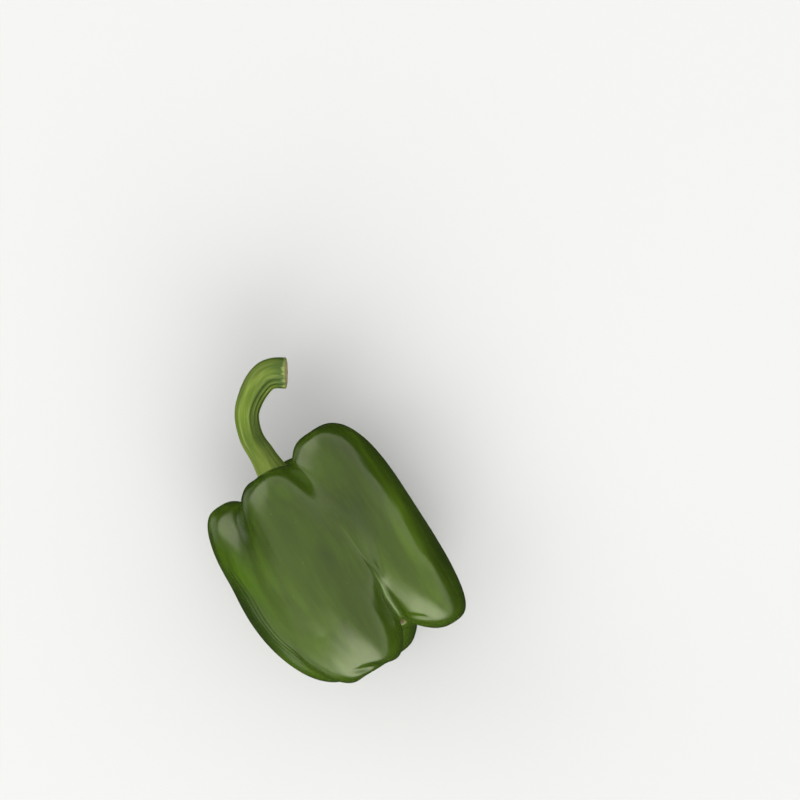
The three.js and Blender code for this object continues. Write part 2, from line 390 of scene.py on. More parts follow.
RECESS_EDGE_ANGLE = 26.0
RECESS_ROWS_SHARE = 0.26


def row_angle(share):
    """The angle from the stem axis at a share of the rows, with the rows closer together in the recess."""
    inner = RECESS_EDGE_ANGLE * share / RECESS_ROWS_SHARE
    past_edge = (share - RECESS_ROWS_SHARE) / (1 - RECESS_ROWS_SHARE)
    outer = RECESS_EDGE_ANGLE + (180 - RECESS_EDGE_ANGLE) * past_edge
    return np.radians(np.where(share < RECESS_ROWS_SHARE, inner, outer))


# Slow waves of the skin: wave lengths along X and across it in mm, phase, share of the height
SKIN_WAVES = (
    (46.0, 17.0, 0.4, 0.9),
    (31.0, 12.0, 2.1, 0.6),
    (62.0, 23.0, 4.0, 1.0),
    (19.0, 9.0, 1.2, 0.35),
)
SWAY = 0.6
SWAY_RATE = 3.1
FRUIT_RADIUS = 38.0

# The waves fade out in the recess, by the angle from the stem axis in degrees, and over the tips, by x
WAVES_OUT_OF_RECESS = (18, 28)
WAVES_OFF_TIPS = (-42, -26)

# The crease between the two upper lobes: x, y of its bottom, half width and depth, in mm
CREASE = (
    (-40.0, -11.1, 1.6, 0.0), (-34.0, -11.1, 1.5, 1.1), (-27.5, -11.0, 1.25, 1.5), (-22.5, -10.9, 1.2, 1.5),
    (-18.5, -11.6, 1.1, 0.9), (-13.0, -12.0, 1.0, 0.5), (-5.0, -11.7, 0.9, 0.35), (6.0, -11.0, 0.8, 0.3),
    (16.0, -10.2, 0.8, 0.0),
)
CREASE_DULLNESS = 0.3

# Fades of the painted highlight along the bottom of the crease: x where a fade begins and ends, and the
# shares there
CREASE_HIGHLIGHT_FADES = (
    (-19.0, -8.0, 1.0, 0.15),
    (-34.0, -30.0, 0.0, 1.0),
    (4.0, 14.0, 1.0, 0.0),
)

# Short folds over the two upper tips: y, x of the bottom, half width and depth, in mm
FOLDS = (
    ((-1.5, -46.6, 1.4, 0.0), (3.5, -44.6, 1.4, 0.7), (9.5, -42.3, 1.3, 1.0), (14.0, -40.2, 1.1, 0.6),
     (17.5, -38.6, 1.0, 0.0)),
    ((-21.0, -38.5, 0.9, 0.0), (-18.5, -36.8, 0.9, 0.45), (-15.0, -34.2, 0.9, 0.5), (-12.0, -32.0, 0.9, 0.0)),
)

# Broad swells and, with a minus, dents: centre, radii along x, y and z, and height, in mm
SWELLS = (
    ((-11.5, -11.0, 63.0), (7.0, 4.4, 20.0), 1.45),
    ((-46.5, 7.5, 52.0), (9.0, 7.0, 10.0), -2.7),
    ((12.0, 39.0, 36.0), (10.0, 8.0, 12.0), -1.0),
)

# Fine creases along the +Y flank: x, turn of the uppermost one in degrees above level, and strength
FLANK_CREASES = (
    (-31.0, 39.0, 0.0), (-23.0, 37.3, 0.6), (-15.0, 35.0, 1.0), (-5.0, 34.2, 1.0), (5.0, 34.6, 0.9),
    (14.0, 31.0, 0.6), (24.0, 27.0, 0.0),
)
FLANK_REACH = 40

# The three creases of the flank: how far each is turned from the uppermost one, in degrees, and its share
FLANK_LINES = ((0.0, 1.0), (-3.6, 0.85), (-7.0, 0.4))

# The low ridges between them, from the lowest turn, where they rise, to the highest, where they end
FLANK_RIDGE_HEIGHT = 0.08
FLANK_RIDGE_SPACING = 3.6
FLANK_RIDGES_RISE = (-10, -4)
FLANK_RIDGES_END = (2, 5)

# The scar of the blossom, where the four tips meet, in mm
SCAR_PLACE = np.array([-35.0, -9.4, 36.2])
SCAR_RADIUS = 1.4
SCAR_DEPTH = 0.5
SCAR_DULLNESS = 0.5

# Lighter and, with a minus, deeper patches of the upper side: x, y, half length, half width in mm, and tone
TONES = (
    (13.0, 31.5, 16.0, 4.5, 0.3), (-12.0, 33.0, 14.0, 3.5, 0.05), (19.0, 7.0, 11.0, 4.0, -0.75),
    (3.0, -0.5, 7.0, 3.2, -0.9), (8.0, 21.5, 12.0, 3.5, 0.15), (-8.0, 25.0, 12.0, 4.0, -0.15),
    (4.0, 13.5, 20.0, 3.5, -0.35), (-10.0, -30.0, 22.0, 5.0, -0.2), (-33.0, -27.0, 8.0, 5.0, -0.25),
    (-14.0, -20.0, 12.0, 4.0, -0.15), (33.0, 6.0, 8.0, 11.0, 0.15), (-22.0, 0.0, 12.0, 6.0, -0.3),
    (0.0, 36.5, 13.0, 2.4, -0.7),
)
TONE_HEIGHTS = (35, 48)

# Painted shade over the ends of the tips, where the skin faces along -X: its strength as tone, and how far
# along -X the skin faces where it begins and is full
PAINTED_SHADE_AT_TIPS = 0.6
TIP_FACING = (0.45, 0.85)

# Heights over which creases and folds of the upper side set in, in mm
CREASE_HEIGHTS = (38, 46)
FOLD_HEIGHTS = (36, 48)
LOWEST_CREASE_MARK = 40
FAR_FROM_CREASE = 50.0

# Patterns of the skin, as their number in a metre along the fruit and across it
PATCHES_PER_METRE = (16.0, 40.0, 40.0)
STREAKS_PER_METRE = (45.0, 330.0, 330.0)
SPECKS_PER_METRE = 520.0
SPECK_GROUPS_PER_METRE = 300.0
WAX_PATCHES_PER_METRE = 140.0
DIMPLES_PER_METRE = 420.0

# The marks that the body's mesh carries for its material
SKIN_MARKS = ("crease_off", "crease_along", "tone_and_tip_shade", "flank_off", "flank_strength", "to_scar")


def skin_waves(points):
    """Slow unevenness that runs along the fruit."""
    turn = np.arctan2(points[:, 2] - AXIS_HEIGHT, points[:, 1])
    total = np.zeros(len(points))
    for along, across, phase, height in SKIN_WAVES:
        sway = SWAY * np.sin(points[:, 0] / along * SWAY_RATE + phase * 2)
        laps = round(2 * math.pi * FRUIT_RADIUS / across)
        lengthwise = np.cos(2 * math.pi * points[:, 0] / along + phase)
        total += height * np.sin(turn * laps + sway + phase) * lengthwise
    return total


def crease_line(x):
    """Where the crease between the two upper lobes runs: its y, half width and depth at each x, in mm."""
    stations, middles, widths, depths = np.array(CREASE).T
    return np.interp(x, stations, middles), np.interp(x, stations, widths), np.interp(x, stations, depths)


def crease_depth(points):
    """How deep the crease is at each point, in mm."""
    middle, width, depth = crease_line(points[:, 0])
    off = (points[:, 1] - middle) / width
    upper = share_between(points[:, 2], *CREASE_HEIGHTS)
    return depth * np.exp(-off ** 2) * upper


def fold_depth(points):
    """How deep the folds over the tips are at each point, in mm."""
    total = np.zeros(len(points))
    for fold in FOLDS:
        stations, middles, widths, depths = np.array(fold).T
        y = points[:, 1]
        lean = (middles[-1] - middles[0]) / (stations[-1] - stations[0])
        off = (points[:, 0] - np.interp(y, stations, middles)) / math.hypot(1, lean)
        off /= np.interp(y, stations, widths)
        total += np.interp(y, stations, depths) * np.exp(-off ** 2)
    return total * share_between(points[:, 2], *FOLD_HEIGHTS)


def swell_height(points):
    """How far the broad swells and dents lift the skin at each point, in mm."""
    total = np.zeros(len(points))
    for centre, radii, height in SWELLS:
        total += height * np.exp(-(((points - np.array(centre)) / np.array(radii)) ** 2).sum(axis=1))
    return total


def flank_turn(points):
    """How far each point is turned from the uppermost crease, in degrees, and the creases' strength."""
    stations, turns, strengths = np.array(FLANK_CREASES).T
    turn = np.degrees(np.arctan2(points[:, 2] - AXIS_HEIGHT, points[:, 1]))
    off = turn - np.interp(points[:, 0], stations, turns)
    strength = np.interp(points[:, 0], stations, strengths)
    return np.clip(off, -FLANK_REACH, FLANK_REACH), np.where(points[:, 1] > 0, strength, 0)


def scar_distance(points):
    """How far each point is from the scar of the blossom, in mm."""
    return np.linalg.norm(points - SCAR_PLACE, axis=1)


def skin_rise(points, polar, waviness):
    """How far the fine forms lift each point of the skin, in mm. Polar is its angle from the stem axis."""
    out_of_recess = share_between(polar, *np.radians(WAVES_OUT_OF_RECESS))
    off_tips = share_between(points[:, 0], *WAVES_OFF_TIPS)
    wave = waviness * skin_waves(points) * out_of_recess * off_tips
    turned, strength = flank_turn(points)
    ridges = np.cos(2 * math.pi * turned / FLANK_RIDGE_SPACING)
    ridges *= share_between(turned, *FLANK_RIDGES_RISE) * (1 - share_between(turned, *FLANK_RIDGES_END))
    rise = wave + swell_height(points) - crease_depth(points) - fold_depth(points)
    rise -= FLANK_RIDGE_HEIGHT * strength * ridges
    rise -= SCAR_DEPTH * np.exp(-(scar_distance(points) / SCAR_RADIUS) ** 2)
    return rise


def skin_marks(points):
    """What the material reads at each point of the skin, by the names in SKIN_MARKS."""
    crease_middle, _, _ = crease_line(points[:, 0])
    crease_off = np.where(points[:, 2] > LOWEST_CREASE_MARK, points[:, 1] - crease_middle, FAR_FROM_CREASE)
    tone_and_tip_shade = np.zeros(len(points))
    for x, y, half_length, half_width, strength in TONES:
        along = (points[:, 0] - x) / half_length
        across = (points[:, 1] - y) / half_width
        tone_and_tip_shade += strength * np.exp(-along ** 2 - across ** 2)
    tone_and_tip_shade *= share_between(points[:, 2], *TONE_HEIGHTS)
    # Painted shade over the ends of the tips, where the skin faces along -X
    tone_and_tip_shade -= PAINTED_SHADE_AT_TIPS * share_between(-skin_normals(points)[:, 0], *TIP_FACING)
    flank_off, flank_strength = flank_turn(points)
    marks = (crease_off, points[:, 0], tone_and_tip_shade, flank_off, flank_strength, scar_distance(points))
    return dict(zip(SKIN_MARKS, marks))


def pepper_skin(settings):
    """Waxy green skin: deep and yellower greens in soft lengthwise streaks, under a smooth sheen."""
    material = bpy.data.materials.new("waxy_pepper_skin")
    material.use_nodes = True
    tree = material.node_tree
    shader = tree.nodes["Principled BSDF"]
    place = add_node(tree, "ShaderNodeTexCoord", output="Object")
    marks = {}
    for name in SKIN_MARKS:
        marks[name] = add_node(tree, "ShaderNodeAttribute", output="Fac", attribute_name=name)

    # Patches some 60 mm long and 25 mm wide, and streaks 22 mm long and 3 mm wide
    patch_place = add_node(tree, "ShaderNodeMapping", {"Vector": place, "Scale": PATCHES_PER_METRE})
    patches = add_node(
        tree, "ShaderNodeTexNoise",
        {"Vector": patch_place, "Scale": 1.0, "Detail": 3.0, "Roughness": 0.5, "Distortion": 0.4})
    streak_place = add_node(tree, "ShaderNodeMapping", {"Vector": place, "Scale": STREAKS_PER_METRE})
    streaks = add_node(
        tree, "ShaderNodeTexNoise", {"Vector": streak_place, "Scale": 1.0, "Detail": 4.0, "Roughness": 0.55})
    colour = add_node(tree, "ShaderNodeValToRGB", {"Fac": patches}, stops=(
        (0.34, settings.deep_green), (0.55, settings.mid_green), (0.72, settings.light_green)))
    streak_share = add_node(
        tree, "ShaderNodeMapRange", {VALUE: streaks, LOW: 0.35, HIGH: 0.7, TO_HIGH: 0.12}, **SMOOTH)

    # A little deeper toward the stem
    along = add_node(tree, "ShaderNodeSeparateXYZ", {"Vector": place})
    to_shoulder = add_node(tree, "ShaderNodeMapRange", {VALUE: along, LOW: -0.03, HIGH: 0.012}, **SMOOTH)

    # Broad lighter and deeper patches of the upper side, broken up by the streaks, with painted shade over
    # the ends of the tips
    uneven = add_node(
        tree, "ShaderNodeMapRange",
        {VALUE: streaks, LOW: 0.35, HIGH: 0.65, TO_LOW: 0.85, TO_HIGH: 1.1}, **SMOOTH)
    tone_and_tip_shade = add_node(tree, "ShaderNodeMath", {0: marks["tone_and_tip_shade"], 1: uneven}, operation="MULTIPLY")
    lighter = add_node(tree, "ShaderNodeMapRange", {VALUE: tone_and_tip_shade, TO_HIGH: 0.9})
    deeper_and_tip_shade = add_node(tree, "ShaderNodeMapRange", {VALUE: tone_and_tip_shade, HIGH: -1.0, TO_HIGH: 0.9})

    # A pale line painted along the bottom of the crease as its highlight, fainter toward the stem
    from_crease = add_node(tree, "ShaderNodeMath", {0: marks["crease_off"]}, operation="ABSOLUTE")
    painted_crease_highlight = add_node(
        tree, "ShaderNodeMapRange",
        {VALUE: from_crease, LOW: 0.1, HIGH: 0.5, TO_LOW: 0.42, TO_HIGH: 0.0}, **SMOOTH)
    for low, high, to_low, to_high in CREASE_HIGHLIGHT_FADES:
        fade = add_node(
            tree, "ShaderNodeMapRange",
            {VALUE: marks["crease_along"], LOW: low, HIGH: high, TO_LOW: to_low, TO_HIGH: to_high}, **SMOOTH)
        painted_crease_highlight = add_node(tree, "ShaderNodeMath", {0: painted_crease_highlight, 1: fade}, operation="MULTIPLY")

    # Painted shade along the fine creases of the flank, which wander a little, and painted shade under the
    # uppermost one
    wander = add_node(
        tree, "ShaderNodeMapRange", {VALUE: patches, LOW: 0.3, HIGH: 0.7, TO_LOW: -1.2, TO_HIGH: 1.2})
    flank_off = add_node(tree, "ShaderNodeMath", {0: marks["flank_off"], 1: wander}, operation="ADD")
    creases = 0.0
    for line_off, share in FLANK_LINES:
        from_line = add_node(tree, "ShaderNodeMath", {0: flank_off, 1: line_off}, operation="SUBTRACT")
        from_line = add_node(tree, "ShaderNodeMath", {0: from_line}, operation="ABSOLUTE")
        near_line = add_node(
            tree, "ShaderNodeMapRange",
            {VALUE: from_line, LOW: 0.1, HIGH: 1.3, TO_LOW: share, TO_HIGH: 0.0}, **SMOOTH)
        creases = add_node(tree, "ShaderNodeMath", {0: creases, 1: near_line}, operation="ADD")
    creases = add_node(tree, "ShaderNodeMath", {0: creases, 1: marks["flank_strength"]}, operation="MULTIPLY")
    crease_painted_shade = add_node(tree, "ShaderNodeMapRange", {VALUE: creases, TO_HIGH: 0.55})
    # Painted shade under the uppermost crease of the flank
    under = add_node(tree, "ShaderNodeMapRange", {VALUE: flank_off, HIGH: -4.0, TO_HIGH: 0.4}, **SMOOTH)
    under = add_node(tree, "ShaderNodeMath", {0: under, 1: marks["flank_strength"]}, operation="MULTIPLY")

    # The dry scar of the blossom, ragged, in a paler ring
    ragged = add_node(
        tree, "ShaderNodeMapRange", {VALUE: streaks, LOW: 0.3, HIGH: 0.7, TO_LOW: -0.5, TO_HIGH: 0.5})
    to_scar = add_node(tree, "ShaderNodeMath", {0: marks["to_scar"], 1: ragged}, operation="ADD")
    scar_ring = add_node(
        tree, "ShaderNodeMapRange", {VALUE: to_scar, LOW: 2.6, HIGH: 1.5, TO_HIGH: 0.3}, **SMOOTH)
    scar = add_node(tree, "ShaderNodeMapRange", {VALUE: to_scar, LOW: 1.5, HIGH: 1.0}, **SMOOTH)

    # Tiny pale specks, in groups
    cells = add_node(
        tree, "ShaderNodeTexVoronoi", {"Vector": place, "Scale": SPECKS_PER_METRE, "Randomness": 1.0})
    groups = add_node(
        tree, "ShaderNodeTexNoise", {"Vector": place, "Scale": SPECK_GROUPS_PER_METRE, "Detail": 1.0})
    dots = add_node(
        tree, "ShaderNodeMapRange", {VALUE: cells, LOW: 0.1, HIGH: 0.2, TO_LOW: 0.08, TO_HIGH: 0.0}, **SMOOTH)
    in_group = add_node(tree, "ShaderNodeMapRange", {VALUE: groups, LOW: 0.62, HIGH: 0.7}, **SMOOTH)
    specks = add_node(tree, "ShaderNodeMath", {0: dots, 1: in_group}, operation="MULTIPLY")

    # The colours, laid over one another in this order
    layers = (
        (streak_share, settings.light_green, "MIX"),
        (to_shoulder, linear("#EEF0E8"), "MULTIPLY"),
        (lighter, linear("#5E8420"), "MIX"),
        # Deeper patches, and painted shade over the ends of the tips
        (deeper_and_tip_shade, linear("#28380F"), "MIX"),
        # Painted highlight along the bottom of the crease
        (painted_crease_highlight, linear("#94B06E"), "MIX"),
        # Painted shade along the flank creases and under the uppermost one
        (crease_painted_shade, linear("#26380E"), "MIX"),
        (under, linear("#2A4210"), "MIX"),
        (scar_ring, linear("#8C9B45"), "MIX"),
        (scar, linear("#4A3B20"), "MIX"),
        (specks, linear("#8FAE5A"), "MIX"),
    )
    for share, shade, blend in layers:
        colour = add_node(
            tree, "ShaderNodeMix", {SHARE: share, UNDER: colour, OVER: shade},
            blend_type=blend, **MIX_COLOURS)
    tree.links.new(colour, shader.inputs["Base Color"])

    # A faint unevenness of the wax. The bottom of the crease and the scar are dull.
    wax = add_node(
        tree, "ShaderNodeTexNoise",
        {"Vector": place, "Scale": WAX_PATCHES_PER_METRE, "Detail": 3.0, "Roughness": 0.5})
    least = settings.roughness - 0.03
    most = settings.roughness + 0.05
    roughness = add_node(
        tree, "ShaderNodeMapRange",
        {VALUE: wax, LOW: 0.3, HIGH: 0.7, TO_LOW: least, TO_HIGH: most}, **SMOOTH)
    near_crease = add_node(
        tree, "ShaderNodeMapRange",
        {VALUE: from_crease, LOW: 2.4, HIGH: 1.0, TO_HIGH: CREASE_DULLNESS}, **SMOOTH)
    low_crease = add_node(
        tree, "ShaderNodeMapRange", {VALUE: marks["crease_along"], LOW: -6.0, HIGH: -16.0}, **SMOOTH)
    for first, second in ((near_crease, low_crease), (scar, SCAR_DULLNESS)):
        dull = add_node(tree, "ShaderNodeMath", {0: first, 1: second}, operation="MULTIPLY")
        roughness = add_node(tree, "ShaderNodeMath", {0: roughness, 1: dull}, operation="ADD")
    tree.links.new(roughness, shader.inputs["Roughness"])

    # Fine dimples, the relief of the streaks, and the sunk creases of the flank
    dimples = add_node(
        tree, "ShaderNodeTexNoise",
        {"Vector": place, "Scale": DIMPLES_PER_METRE, "Detail": 2.0, "Roughness": 0.5})
    relief = add_node(tree, "ShaderNodeBump", {"Height": dimples, "Strength": 0.12, "Distance": 0.0002})
    relief = add_node(
        tree, "ShaderNodeBump", {"Height": streaks, "Strength": 0.3, "Distance": 0.0003, "Normal": relief})
    relief = add_node(
        tree, "ShaderNodeBump", {"Height": creases, "Strength": 0.5, "Distance": 0.0003, "Normal": relief},
        invert=True)
    tree.links.new(relief, shader.inputs["Normal"])

    # Clear wax over flesh that lets a little light through
    surface = {
        "IOR": 1.5,
        "Specular Tint": (0.95, 1.0, 0.64, 1.0),
        "Subsurface Weight": 0.12,
        "Subsurface Radius": (0.5, 1.0, 0.2),
        "Subsurface Scale": 0.002,
        "Coat Weight": 0.15,
        "Coat Roughness": 0.12,
    }
    for name, value in surface.items():
        shader.inputs[name].default_value = value
    return material


class PEPPER_OT_body(bpy.types.Operator):
    """Makes the fruit: four lobes with soft grooves, the recess at the stem and the lobed blossom end"""

    bl_idname = "pepper.body"
    bl_label = "Pepper body"

    def execute(self, context):
        settings = context.scene.pepper_body
        piece, row, column = sphere_grid("pepper_body_skin", settings.around, settings.rows)
        polar = row_angle(row / settings.rows)
        turn = 2 * math.pi * column / settings.around
        directions = np.column_stack(
            (np.cos(polar), np.sin(polar) * np.cos(turn), np.sin(polar) * np.sin(turn)))
        points = skin_points(directions)
        points = points + skin_normals(points) * skin_rise(points, polar, settings.waviness)[:, None]
        points[:, 2] = np.maximum(points[:, 2], 0.0)
        set_points(piece, points)
        add_attributes(piece, skin_marks(points))
        finish_piece(piece, pepper_skin(settings), "pepper_body")
        return {"FINISHED"}


# Stem and calyx

# The middle line of the stem from the recess to the cut, and radii at even shares of its length, in mm
STEM_LINE = np.array([
    (34.5, 2.0, 36.0), (41.5, 2.0, 36.3), (48.7, 1.8, 36.8), (57.1, 1.6, 37.6), (65.4, -1.6, 38.4),
    (70.9, -7.8, 39.2), (73.8, -14.3, 39.8), (73.4, -18.8, 40.2), (70.9, -23.0, 40.5),
])
STEM_RADII = (7.4, 5.9, 5.0, 4.6, 4.5, 4.6, 4.9, 5.4, 5.8, 5.9)
RIB_HEIGHT = 0.25
SAMPLES_PER_SPAN = 60
DIRECTION_REACH = 0.6

# Grooves round the stem, closer on the inner side of its hook: angle and half width in degrees, depth in mm
STEM_GROOVES = (
    (8, 12, 0.22), (44, 9, 0.16), (82, 8, 0.12), (117, 9, 0.55), (139, 8, 0.5), (165, 10, 0.5),
    (205, 12, 0.45), (247, 12, 0.5), (285, 12, 0.45), (325, 12, 0.45),
)
GROOVE_SWAY = 0.12
GROOVE_SWAY_RATE = 5
FULL_GROOVE = 0.5

CALYX_CENTRE = (2.0, 36.0)
CALYX_RADIUS = 11.0
CALYX_CORNERS = 5
CALYX_CORNER_SHARPNESS = 1.6
CALYX_CORNER_REACH = 1.0
CALYX_EDGE_THICKNESS = 1.1
CALYX_FOOT_RADIUS = 8.4
CALYX_FOOT_THICKNESS = 2.4
CALYX_RINGS = 14
GAP = 0.15

# Rows over the edge of the calyx: share of its thickness, and how far out of its outline, in mm
CALYX_EDGE_ROWS = ((0.25, 0.2), (0.55, 0.3), (0.85, 0.2))

# The foot is a smooth bend from the calyx to the stem, which it meets at a share of the stem's length
FOOT_ROWS = 10
FOOT_SHARE = 0.05
FOOT_NEXT_SHARE = 0.07
FOOT_PULL = 1.6

# The cut face: rows, bulge at its rim, depth of its dip, and unevenness as height, waves round it and shift
CUT_ROWS = 8
CUT_BULGE = 0.35
CUT_DIP = 0.5
CUT_MIDDLE = -0.2
CUT_WAVES = ((0.12, 7, 1), (0.08, 13, 2))

# Patterns of the stem, as their number in a metre along the stem and across it
FIBRES_PER_METRE = (60.0, 900.0, 900.0)
BANDS_PER_METRE = (45.0, 220.0, 220.0)
GRAINS_PER_METRE = 1400.0


def smooth_line(points, shares):
    """Points and directions on a smooth line through the given points, at shares of its length."""
    ends = np.vstack((2 * points[0] - points[1], points, 2 * points[-1] - points[-2]))
    fine = []
    for i in range(len(points) - 1):
        before, start, end, after = ends[i:i + 4]
        t = np.linspace(0, 1, SAMPLES_PER_SPAN, endpoint=False)[:, None]
        fine.append(0.5 * (
            2 * start + (end - before) * t
            + (2 * before - 5 * start + 4 * end - after) * t ** 2
            + (3 * start - before - 3 * end + after) * t ** 3))
    fine = np.vstack(fine + [points[-1:]])
    lengths = np.concatenate(([0], np.cumsum(np.linalg.norm(np.diff(fine, axis=0), axis=1))))
    at = shares * lengths[-1]
    centre, ahead, behind = (
        np.column_stack([np.interp(at + reach, lengths, fine[:, axis]) for axis in range(3)])
        for reach in (0.0, DIRECTION_REACH, -DIRECTION_REACH))
    along = ahead - behind
    return centre, along / np.linalg.norm(along, axis=1, keepdims=True)


def groove_depth(turn):
    """How deep the grooves are at a turn round the stem, in mm."""
    depth = np.zeros_like(turn)
    degrees = np.degrees(turn) % 360
    for angle, width, deep in STEM_GROOVES:
        off = np.abs((degrees - angle + 180) % 360 - 180) / width
        depth += deep * np.exp(-off ** 2)
    return depth


def stem_surface(share, turn, scale=1.0, push=0.0, groove_share=1.0):
    """Points of the stem's skin at shares of its length and turns round it."""
    centre, along = smooth_line(STEM_LINE, np.clip(share, 0, 1))
    across = np.cross(np.array([0.0, 0.0, 1.0]), along)
    across /= np.linalg.norm(across, axis=1, keepdims=True)
    above = np.cross(along, across)
    place = np.linspace(0, 1, len(STEM_RADII))
    radius = np.interp(np.clip(share, 0, 1), place, STEM_RADII) + RIB_HEIGHT
    swayed = turn + GROOVE_SWAY * np.sin(share * GROOVE_SWAY_RATE)
    radius = (radius - groove_depth(swayed) * groove_share) * scale
    return (centre + across * (radius * np.cos(turn))[:, None] + above * (radius * np.sin(turn))[:, None]
            + along * np.asarray(push).reshape(-1, 1))


def calyx_surface(radius, turn, lift):
    """Points at a height over the recess floor."""
    y = CALYX_CENTRE[0] + radius * np.cos(turn)
    z = CALYX_CENTRE[1] + radius * np.sin(turn)
    points = np.column_stack((recess_height(y, z), y, z))
    return points + skin_normals(points) * np.asarray(lift).reshape(-1, 1)


def calyx_rings(turns):
    """The rings of the calyx: out under it, over its edge, and in over its upper side to the foot."""
    corner = np.abs(np.cos(CALYX_CORNERS * turns / 2)) ** CALYX_CORNER_SHARPNESS * 2 - 1
    edge = CALYX_RADIUS + CALYX_CORNER_REACH * corner
    rings = []
    for i in range(1, CALYX_RINGS + 1):
        rings.append(calyx_surface(edge * i / CALYX_RINGS, turns, GAP))
    for lift, grow in CALYX_EDGE_ROWS:
        rings.append(calyx_surface(edge + grow, turns, GAP + lift * CALYX_EDGE_THICKNESS))
    for i in range(CALYX_RINGS, 0, -1):
        share = (i - 1) / (CALYX_RINGS - 1)
        thinned = share_between(share * 1.3, 0, 1)
        thickness = CALYX_FOOT_THICKNESS + (CALYX_EDGE_THICKNESS - CALYX_FOOT_THICKNESS) * thinned
        radius = CALYX_FOOT_RADIUS + (edge - CALYX_FOOT_RADIUS) * share
        rings.append(calyx_surface(radius, turns, GAP + thickness - groove_depth(turns) * 0.5))
    return rings


def foot_rings(before, start, turns):
    """The rings of the bend from the last ring of the calyx to the stem."""
    end = stem_surface(np.full(len(turns), FOOT_SHARE), turns)
    after = stem_surface(np.full(len(turns), FOOT_NEXT_SHARE), turns)
    lead_in = start + (start - before) * FOOT_PULL
    lead_out = end - (after - end) * FOOT_PULL
    rings = []
    for i in range(1, FOOT_ROWS):
        t = i / FOOT_ROWS
        rings.append(start * (1 - t) ** 3 + lead_in * 3 * t * (1 - t) ** 2
                     + lead_out * 3 * t ** 2 * (1 - t) + end * t ** 3)
    return rings


def cut_rings(turns):
    """The rings of the uneven cut face, from its rim inward."""
    rings = []
    for i in range(1, CUT_ROWS):
        t = i / CUT_ROWS
        rough = sum(height * np.sin(turns * waves + shift * i) for height, waves, shift in CUT_WAVES)
        push = CUT_BULGE - CUT_DIP * share_between(t, 0.15, 0.6) + rough * (t > 0.2)
        rings.append(stem_surface(np.full(len(turns), 1.0), turns, 1 - t, push, 1 - t))
    return rings


def stem_skin(settings):
    """Fibrous green stem: pale ribs, painted shade in the grooves, a painted shadow by the cut and a dry cut
    face.
    """
    material = bpy.data.materials.new("fibrous_green_stem")
    material.use_nodes = True
    tree = material.node_tree
    shader = tree.nodes["Principled BSDF"]
    straight = add_node(tree, "ShaderNodeAttribute", output="Vector", attribute_name="straight")
    groove_shade, to_cut, cut_face = (
        add_node(tree, "ShaderNodeAttribute", output="Fac", attribute_name=name)
        for name in ("groove_shade", "to_cut", "cut_face"))

    # Fibres about 1 mm wide and bands about 5 mm wide, both some 20 mm long
    fibre_place = add_node(tree, "ShaderNodeMapping", {"Vector": straight, "Scale": FIBRES_PER_METRE})
    fibres = add_node(
        tree, "ShaderNodeTexNoise", {"Vector": fibre_place, "Scale": 1.0, "Detail": 5.0, "Roughness": 0.6})
    band_place = add_node(tree, "ShaderNodeMapping", {"Vector": straight, "Scale": BANDS_PER_METRE})
    bands = add_node(
        tree, "ShaderNodeTexNoise", {"Vector": band_place, "Scale": 1.0, "Detail": 2.0, "Roughness": 0.5})
    colour = add_node(tree, "ShaderNodeValToRGB", {"Fac": bands}, stops=(
        (0.32, linear("#53691D")), (0.52, settings.flesh), (0.7, linear("#7C9038"))))

    # The edge of the painted shadow by the cut is ragged
    ragged = add_node(tree, "ShaderNodeMath", {0: fibres, 1: 0.006}, operation="MULTIPLY")
    ragged_to_cut = add_node(tree, "ShaderNodeMath", {0: to_cut, 1: ragged}, operation="ADD")

    # What is laid over one another: source, where it begins and is full, most of it, colour and blend
    layers = (
        # Pale and dark fibres, and painted shade in the grooves
        (fibres, 0.42, 0.72, 0.55, linear("#8F9E52"), "MIX"),
        (fibres, 0.44, 0.3, 0.5, linear("#48601B"), "MIX"),
        (groove_shade, 0.15, 0.8, 0.85, settings.groove_shade, "MIX"),
        # Painted shade, a little deeper toward the cut, and paler toward the foot
        (to_cut, 0.032, 0.014, 1.0, linear("#E3E5DC"), "MULTIPLY"),
        (to_cut, 0.034, 0.05, 0.42, linear("#93A84A"), "MIX"),
        # A painted shadow by the cut, and the cut's drier rim
        (ragged_to_cut, 0.0085, 0.0045, 0.75, linear("#3C5424"), "MIX"),
        (ragged_to_cut, 0.0042, 0.003, 0.8, linear("#8A9455"), "MIX"),
    )
    for source, begin, full, most, shade, blend in layers:
        share = add_node(
            tree, "ShaderNodeMapRange", {VALUE: source, LOW: begin, HIGH: full, TO_HIGH: most}, **SMOOTH)
        colour = add_node(
            tree, "ShaderNodeMix", {SHARE: share, UNDER: colour, OVER: shade},
            blend_type=blend, **MIX_COLOURS)

    # The dry, grainy face of the cut
    grains = add_node(tree, "ShaderNodeTexVoronoi", {"Vector": straight, "Scale": GRAINS_PER_METRE})
    grain_share = add_node(
        tree, "ShaderNodeMapRange", {VALUE: grains, LOW: 0.1, HIGH: 0.6, TO_HIGH: 0.6}, **SMOOTH)
    dry = add_node(
        tree, "ShaderNodeMix",
        {SHARE: grain_share, UNDER: settings.dry, OVER: linear("#7B7048")}, **MIX_COLOURS)
    colour = add_node(tree, "ShaderNodeMix", {SHARE: cut_face, UNDER: colour, OVER: dry}, **MIX_COLOURS)
    tree.links.new(colour, shader.inputs["Base Color"])

    relief = add_node(tree, "ShaderNodeBump", {"Height": fibres, "Strength": 0.5, "Distance": 0.0006})
    tree.links.new(relief, shader.inputs["Normal"])

    # Matte and fibrous, with a little light through it
    surface = {
        "Roughness": 0.48,
        "IOR": 1.42,
        "Specular Tint": (0.95, 1.0, 0.6, 1.0),
        "Subsurface Weight": 0.1,
        "Subsurface Radius": (0.6, 1.0, 0.2),
        "Subsurface Scale": 0.0015,
    }
    for name, value in surface.items():
        shader.inputs[name].default_value = value
    return material


